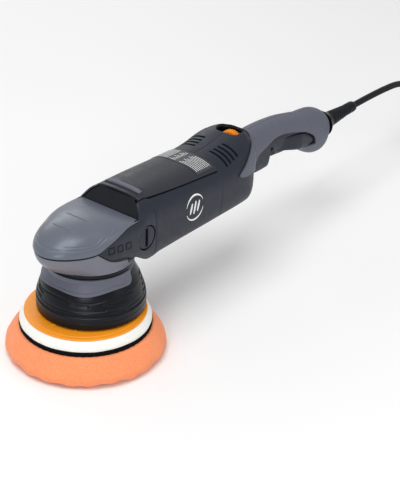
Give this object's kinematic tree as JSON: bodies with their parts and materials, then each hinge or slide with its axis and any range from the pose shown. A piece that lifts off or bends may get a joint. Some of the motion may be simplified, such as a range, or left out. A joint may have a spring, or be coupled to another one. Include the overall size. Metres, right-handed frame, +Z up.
{
  "type": "dual action polisher",
  "caption": "Hand-held orbital polisher: long motor body with a rear grip, bevel gear head and a foam pad that orbits and turns freely under a flexible shroud.",
  "frame": {"origin": "where the spindle axis meets the foam pad's working face", "axes": "+Z up along the spindle axis, -X towards the nose, +X towards the handle and the mains lead, -Y to the tool's left"},
  "size_m": [0.7815, 0.181, 0.1487],
  "materials": {
    "pad_foam": "open-cell foam, sanded",
    "hook_fabric": "hook and loop pile",
    "white_foam": "closed-cell foam, smooth skin",
    "orange_plastic": "moulded, satin",
    "steel": "turned",
    "cast_iron": "as cast",
    "cast_aluminium": "painted casting, satin",
    "black_rubber": "moulded, soft sheen",
    "grey_rubber": "soft overmould, satin",
    "grey_plastic": "metallic grey, satin gloss",
    "slate_plastic": "fine spark texture",
    "dark_panel": "smooth, semi-gloss",
    "black_plastic": "smooth",
    "laminated_steel": "stacked laminations",
    "copper": "enamelled copper wire",
    "brass": "pressed sheet",
    "carbon": "pressed carbon",
    "label_film": "printed film, blank",
    "white_print": "printed",
    "circuit_board": "laminate with parts",
    "white_plastic": "moulded",
    "cord_rubber": "ribbed jacket, matt",
    "plated_pins": "nickel plated"
  },
  "bodies": {
    "housing": {"spindle_bearings": "steel", "gear_case": "cast_aluminium", "neck_band": "black_rubber", "collar": "grey_rubber", "shroud": "black_rubber", "nose_cover": "grey_plastic", "side_shield_left": "slate_plastic", "side_shield_right": "slate_plastic", "visor": "black_plastic", "top_cover": "dark_panel", "handle_socket_plugs": "slate_plastic", "motor_housing": "slate_plastic", "case_screws": "steel", "motor_bearings": "steel", "bearing_bracket": "black_plastic", "stator_core": "laminated_steel", "field_coils": "copper", "brush_holders": "brass", "carbon_brushes": "carbon", "brush_springs": "steel", "rating_plate": "label_film", "emblem": "white_print", "rear_half_left": "slate_plastic", "rear_half_right": "slate_plastic", "grip_left": "grey_rubber", "grip_right": "grey_rubber", "handle_screws": "steel", "dial_potentiometer": "circuit_board", "speed_module": "circuit_board", "switch_body": "black_plastic", "trigger_pin": "steel", "cord_clamp": "black_rubber", "strain_relief": "black_rubber", "cord": "cord_rubber", "cord_coil": "cord_rubber", "plug_body": "cord_rubber", "plug_pins": "plated_pins"},
    "pad": {"foam_pad": "pad_foam", "loop_disc": "hook_fabric", "hook_disc": "hook_fabric", "plate_foam": "white_foam", "backing_plate": "orange_plastic", "plate_screw": "steel", "pad_arbor": "steel"},
    "spindle": {"arbor_bearings": "steel", "counterweight": "cast_iron", "spindle": "steel", "bevel_gear": "steel"},
    "armature": {"motor_shaft": "steel", "pinion": "steel", "armature_core": "laminated_steel", "armature_windings": "copper", "commutator": "copper", "cooling_fan": "black_plastic"},
    "trigger": {"trigger": "slate_plastic"},
    "lock_button": {"lock_button": "black_plastic"},
    "speed_dial": {"speed_dial": "orange_plastic"},
    "switch_plunger": {"switch_plunger": "white_plastic"}
  },
  "joints": [
    {"name": "spindle_spin", "type": "hinge", "parent": "housing", "child": "spindle", "pos_m": [0, 0, 0.112], "axis": [0, 0, 1], "continuous": true},
    {"name": "motor_spin", "type": "hinge", "parent": "housing", "child": "armature", "pos_m": [0, 0, 0.112], "axis": [1, 0, 0], "continuous": true},
    {"name": "pad_spin", "type": "hinge", "parent": "spindle", "child": "pad", "pos_m": [-0.0075, 0, 0], "axis": [0, 0, 1], "continuous": true},
    {"name": "trigger_press", "type": "hinge", "parent": "housing", "child": "trigger", "pos_m": [0.321, 0, 0.11], "axis": [0, 1, 0], "range_deg": [0, 4.5], "stiffness_Nm_per_rad": 2, "springref_deg": -8.59},
    {"name": "plunger_slide", "type": "slide", "parent": "housing", "child": "switch_plunger", "axis": [0, 0, 1], "range_m": [0, 0.004]},
    {"name": "lock_press", "type": "slide", "parent": "trigger", "child": "lock_button", "axis": [0, 1, 0], "range_m": [0, 0.0025], "stiffness_N_per_m": 300, "springref_m": -0.002},
    {"name": "dial_turn", "type": "hinge", "parent": "housing", "child": "speed_dial", "pos_m": [0.207, 0, 0.1315], "axis": [1, 0, 0], "range_deg": [-135, 135]}
  ],
  "couplings": [
    {"joint": "motor_spin", "follows": "spindle_spin", "ratio": 4.4444},
    {"joint": "plunger_slide", "follows": "trigger_press", "m_per_rad": 0.049}
  ]
}
